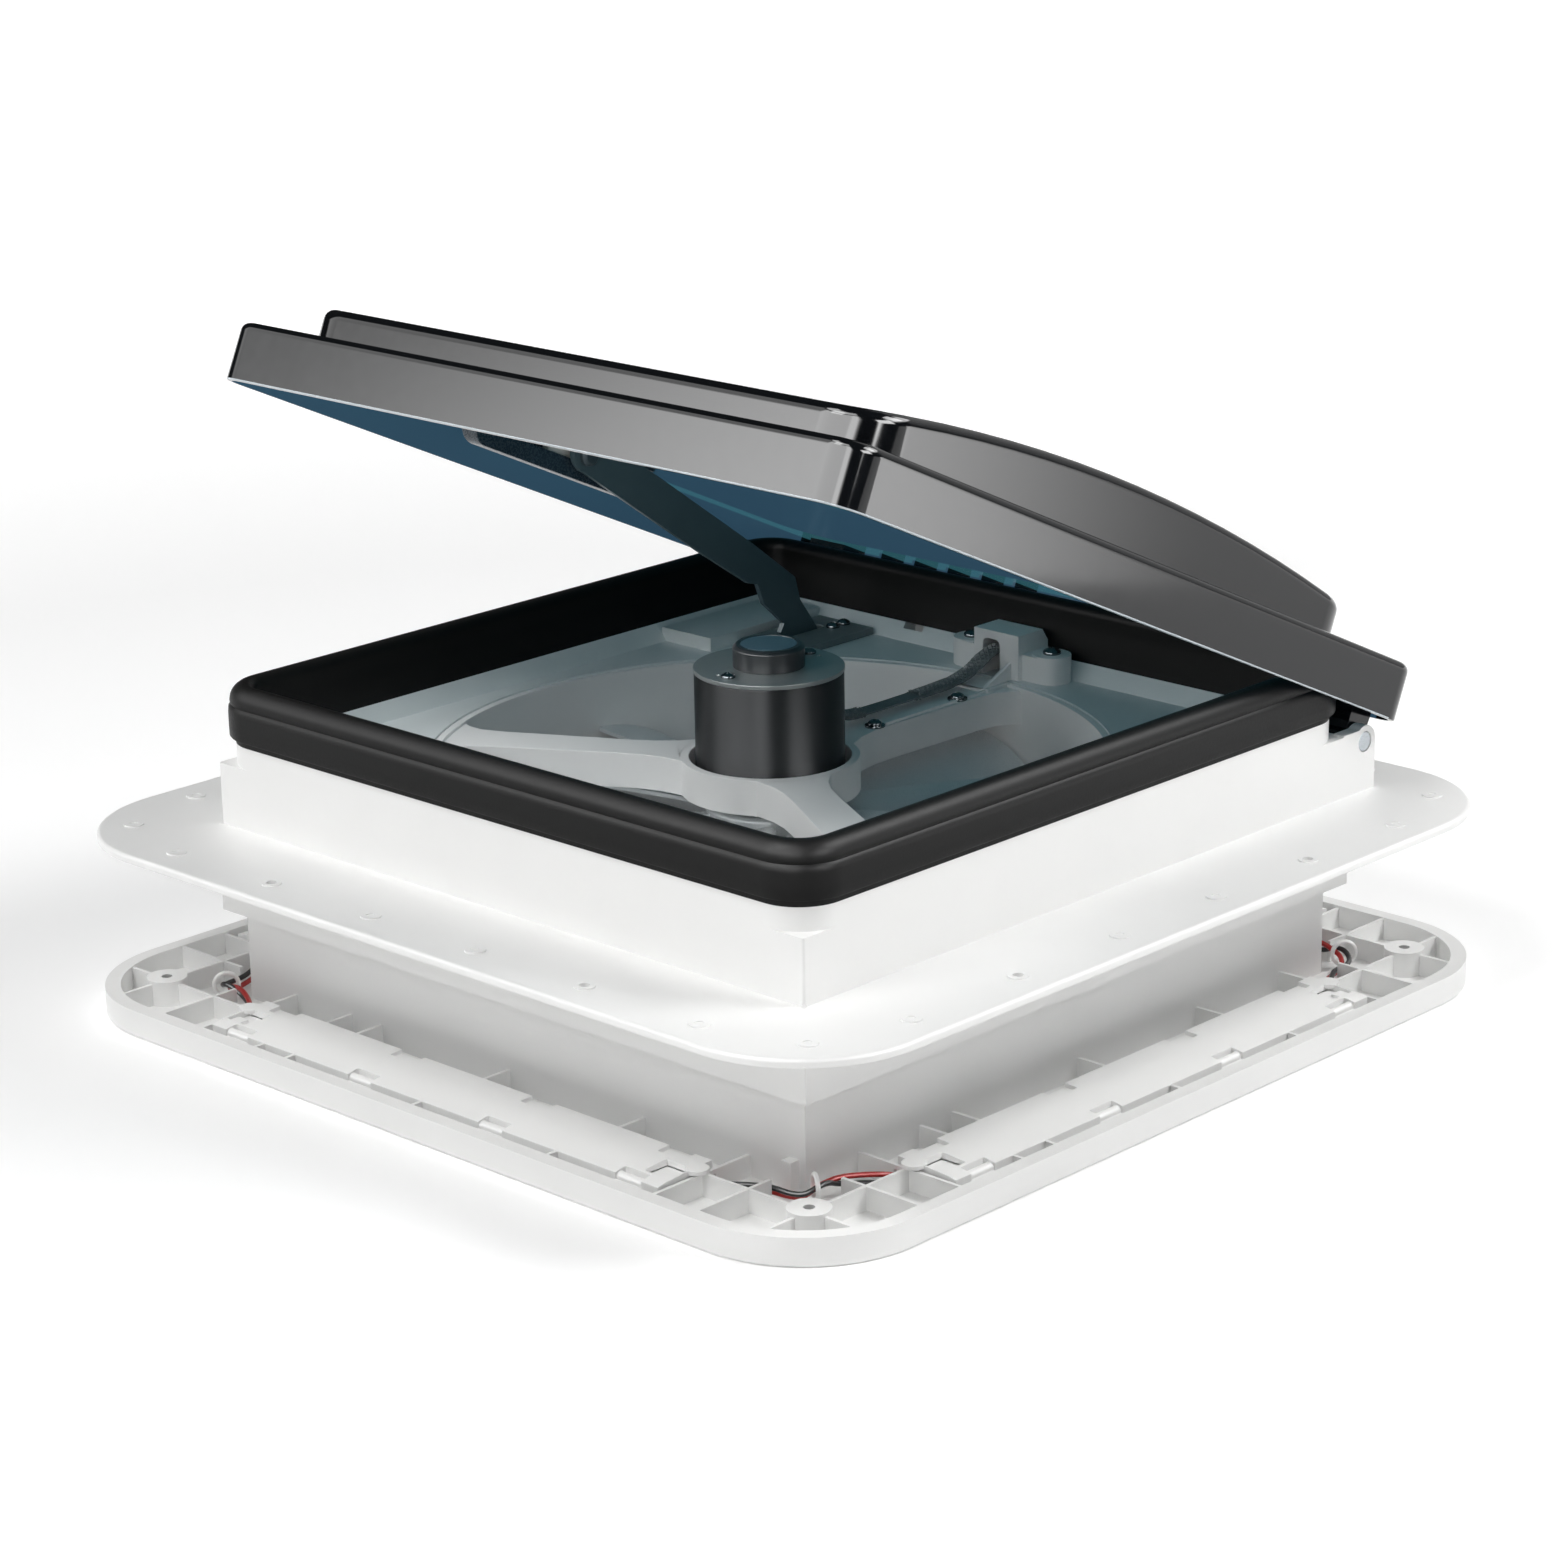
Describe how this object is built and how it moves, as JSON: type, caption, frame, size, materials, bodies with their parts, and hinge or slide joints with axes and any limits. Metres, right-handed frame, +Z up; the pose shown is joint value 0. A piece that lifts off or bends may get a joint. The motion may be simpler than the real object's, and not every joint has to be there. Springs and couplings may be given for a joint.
{
  "type": "roof vent fan",
  "caption": "Square roof vent fan with a smoked lid lifted by a motor-driven arm, a round fan opening with a spinning wheel, and an inner trim ring with light bars.",
  "frame": {"origin": "centre of the roof opening, on the underside of the roof flange", "axes": "+Z up out of the roof, -Y towards the lid's lifting edge, +Y towards its hinges, +X to the right seen from the lifting edge"},
  "size_m": [0.462, 0.462, 0.309],
  "materials": {
    "white_abs": "fine moulded texture",
    "deck_abs": "fine moulded texture",
    "bar_abs": "satin",
    "smoked_lid": "gloss",
    "rail_plastic": "satin",
    "arm_paint": "satin",
    "bracket_paint": "satin",
    "seal_rubber": "pebbled",
    "zinc_steel": "plated",
    "shaft_steel": "ground",
    "motor_paint": "satin",
    "end_steel": "gunmetal",
    "cap_plastic": "satin",
    "blade_plastic": "silver grey",
    "slider_nylon": "natural",
    "gear_nylon": "natural",
    "drive_plastic": "satin",
    "drive_steel": "plated",
    "lens_plastic": "opal",
    "cable_sleeve": "braided",
    "wire_red": "insulation",
    "wire_black": "insulation",
    "mesh_wire": "coated"
  },
  "bodies": {
    "base": {"base_flange": "white_abs", "fan_deck": "deck_abs", "venturi_spider": "white_abs", "throat_screws": "zinc_steel", "lid_gasket": "seal_rubber", "hinge_pins": "zinc_steel", "lift_bracket": "bracket_paint", "bracket_screws": "zinc_steel", "lift_gearbox": "drive_plastic", "lift_motor": "drive_steel", "motor_can": "motor_paint", "motor_end_plate": "end_steel", "motor_cap": "cap_plastic", "motor_screws": "zinc_steel", "cable_bridge": "white_abs", "bridge_screws": "zinc_steel", "arm_screws": "zinc_steel", "motor_cable": "cable_sleeve", "trim_ring": "white_abs", "light_bar_front": "bar_abs", "light_bar_right": "bar_abs", "light_bar_back": "bar_abs", "light_bar_left": "bar_abs", "light_lens_front": "lens_plastic", "light_lens_right": "lens_plastic", "light_lens_back": "lens_plastic", "light_lens_left": "lens_plastic", "wires_red": "wire_red", "wires_black": "wire_black", "wire_loops": "bar_abs", "screen_frame": "white_abs", "screen_mesh": "mesh_wire", "screen_clips": "white_abs"},
    "lid": {"lid_shell": "smoked_lid", "lid_rail": "rail_plastic", "rail_screws": "zinc_steel"},
    "arm": {"lift_arm": "arm_paint", "arm_shaft": "shaft_steel", "arm_pin": "arm_paint", "sector_gear": "gear_nylon"},
    "slider": {"track_slider": "slider_nylon"},
    "pinion": {"lift_pinion": "gear_nylon"},
    "rotor": {"motor_shaft": "shaft_steel", "impeller": "blade_plastic", "impeller_nut": "zinc_steel"}
  },
  "joints": [
    {"name": "lid_hinge", "type": "hinge", "parent": "base", "child": "lid", "pos_m": [0, 0.1892, 0.0266], "axis": [-1, 0, 0], "range_deg": [-24.7, 5.3], "deforming": ["lid_gasket"]},
    {"name": "lift_arm_pivot", "type": "hinge", "parent": "base", "child": "arm", "pos_m": [-0.115, 0.139, 0.028], "axis": [-1, 0, 0], "range_deg": [-31.4, 6.9]},
    {"name": "slider_pivot", "type": "hinge", "parent": "arm", "child": "slider", "pos_m": [-0.115, -0.0055, 0.1485], "axis": [-1, 0, 0], "range_deg": [-1.6, 6.8]},
    {"name": "pinion_spin", "type": "hinge", "parent": "base", "child": "pinion", "pos_m": [-0.108, 0.139, -0.002], "axis": [-1, 0, 0], "range_deg": [-21, 95]},
    {"name": "fan_spin", "type": "hinge", "parent": "base", "child": "rotor", "pos_m": [0, -0.009, 0.02], "axis": [0, 0, 1], "continuous": true}
  ],
  "couplings": [
    {"joint": "lift_arm_pivot", "follows": "lid_hinge", "ratio": 1.2656},
    {"joint": "slider_pivot", "follows": "lid_hinge", "ratio": -0.2656},
    {"joint": "pinion_spin", "follows": "lid_hinge", "ratio": -3.7968}
  ]
}
